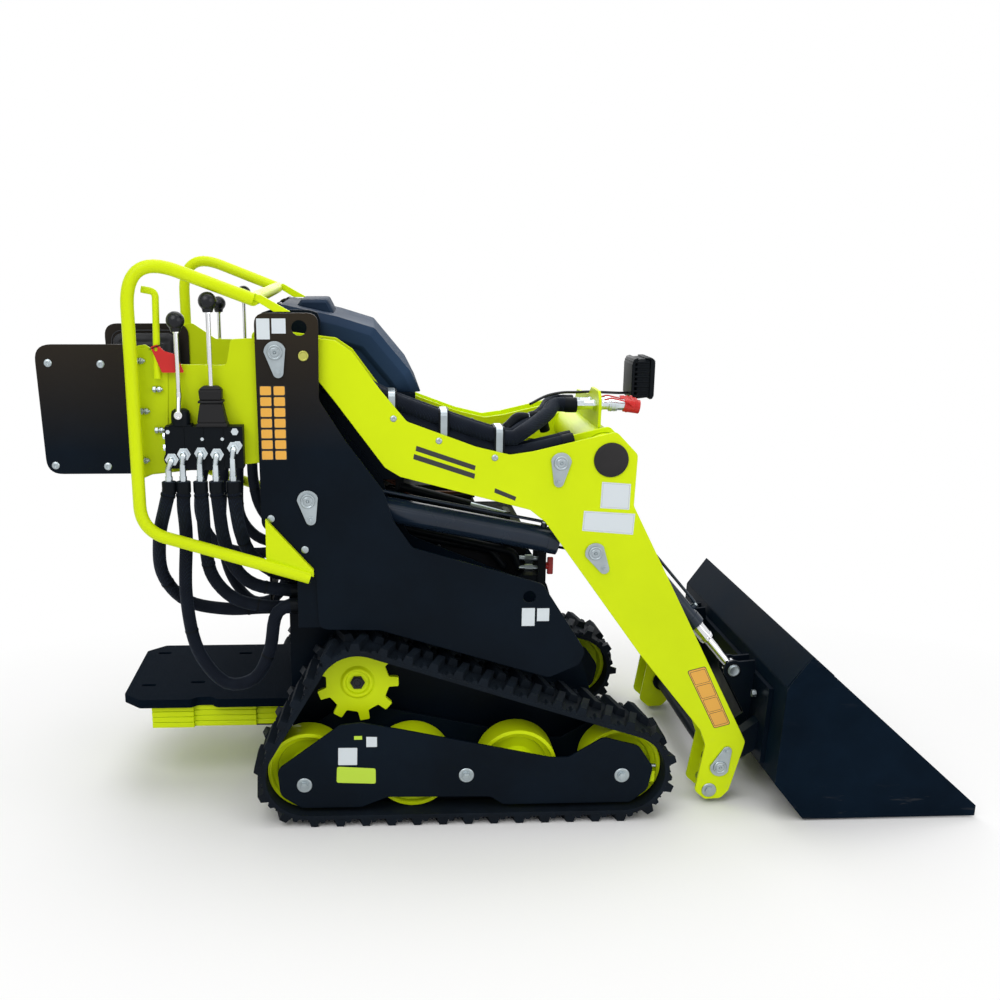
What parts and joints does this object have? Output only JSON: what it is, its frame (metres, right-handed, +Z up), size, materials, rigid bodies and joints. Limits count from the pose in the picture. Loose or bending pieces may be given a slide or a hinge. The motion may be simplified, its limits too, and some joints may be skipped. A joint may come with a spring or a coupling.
{
  "type": "mini skid steer loader",
  "caption": "Stand-on tracked mini skid steer loader with lift arms, a front bucket, hip pads and a folded guard frame",
  "frame": {"origin": "on the ground, in the middle of the machine's length and width", "axes": "+X forwards to the bucket, +Y to the machine's left, +Z up"},
  "size_m": [2.4494, 0.988, 1.4689],
  "materials": {
    "lime_paint": "gloss",
    "black_paint": "satin",
    "black_rubber": "matte",
    "black_vinyl": "satin",
    "zinc_plate": "satin",
    "chrome_rod": "polished"
  },
  "bodies": {
    "chassis": {"counterweights": "lime_paint", "guard_frame": "lime_paint", "side_panel_left": "lime_paint", "side_panel_right": "lime_paint", "hook_rod": "lime_paint", "sprocket_left": "lime_paint", "sprocket_right": "lime_paint", "chassis_frame": "black_paint", "tower_left": "black_paint", "tower_right": "black_paint", "engine_block": "black_paint", "engine_cowl": "black_paint", "rear_panel": "black_paint", "hip_plate_left": "black_paint", "hip_plate_right": "black_paint", "platform": "black_paint", "valve_left": "black_paint", "valve_right": "black_paint", "track_frame_left": "black_paint", "track_frame_right": "black_paint", "track_left": "black_rubber", "track_right": "black_rubber", "hose_left_1": "black_rubber", "hose_left_2": "black_rubber", "hose_left_3": "black_rubber", "hose_left_4": "black_rubber", "hose_left_5": "black_rubber", "hose_right_1": "black_rubber", "hose_right_2": "black_rubber", "hose_right_3": "black_rubber", "hose_right_4": "black_rubber", "hose_right_5": "black_rubber", "hip_pad_left": "black_vinyl", "hip_pad_right": "black_vinyl"},
    "arms": {"arm_left": "lime_paint", "arm_right": "lime_paint", "arm_cross_tube": "lime_paint", "arm_hoses": "black_rubber", "couplers": "zinc_plate", "work_lamp": "black_paint"},
    "bucket_body": {"bucket": "black_paint", "hitch": "black_paint"},
    "hood_body": {"hood": "black_paint"},
    "lift_barrels": {"lift_barrel_left": "black_paint", "lift_barrel_right": "black_paint"},
    "lift_rods": {"lift_rod_left": "chrome_rod", "lift_rod_right": "chrome_rod"},
    "tilt_barrels": {"tilt_barrel_left": "black_paint", "tilt_barrel_right": "black_paint"},
    "tilt_rods": {"tilt_rod_left": "chrome_rod", "tilt_rod_right": "chrome_rod"}
  },
  "joints": [
    {"name": "arm_lift", "type": "hinge", "parent": "chassis", "child": "arms", "pos_m": [-0.64, 0, 1.248], "axis": [0, -1, 0], "range_deg": [0, 74]},
    {"name": "bucket_tilt", "type": "hinge", "parent": "arms", "child": "bucket_body", "pos_m": [0.547, 0, 0.112], "axis": [0, -1, 0], "range_deg": [-100, 20]},
    {"name": "hood_hinge", "type": "hinge", "parent": "chassis", "child": "hood_body", "pos_m": [-0.641, 0, 1.348], "axis": [0, -1, 0], "range_deg": [0, 60]},
    {"name": "lift_barrel_swing", "type": "hinge", "parent": "chassis", "child": "lift_barrels", "pos_m": [-0.568, 0, 0.876], "axis": [0, -1, 0], "range_deg": [0, 71]},
    {"name": "lift_rod_slide", "type": "slide", "parent": "lift_barrels", "child": "lift_rods", "axis": [0.9803, 0, -0.1976], "range_m": [0, 0.46]},
    {"name": "tilt_barrel_swing", "type": "hinge", "parent": "arms", "child": "tilt_barrels", "pos_m": [0.078, 0, 0.965], "axis": [0, -1, 0], "range_deg": [-3, 1]},
    {"name": "tilt_rod_slide", "type": "slide", "parent": "tilt_barrels", "child": "tilt_rods", "axis": [0.6512, 0, -0.7589], "range_m": [-0.09, 0.43]}
  ],
  "couplings": [
    {"joint": "lift_barrel_swing", "follows": "arm_lift", "ratio": 0.95608},
    {"joint": "lift_rod_slide", "follows": "arm_lift", "m_per_rad": 0.35218},
    {"joint": "tilt_barrel_swing", "follows": "bucket_tilt", "ratio": 0.025},
    {"joint": "tilt_rod_slide", "follows": "bucket_tilt", "m_per_rad": -0.245}
  ]
}
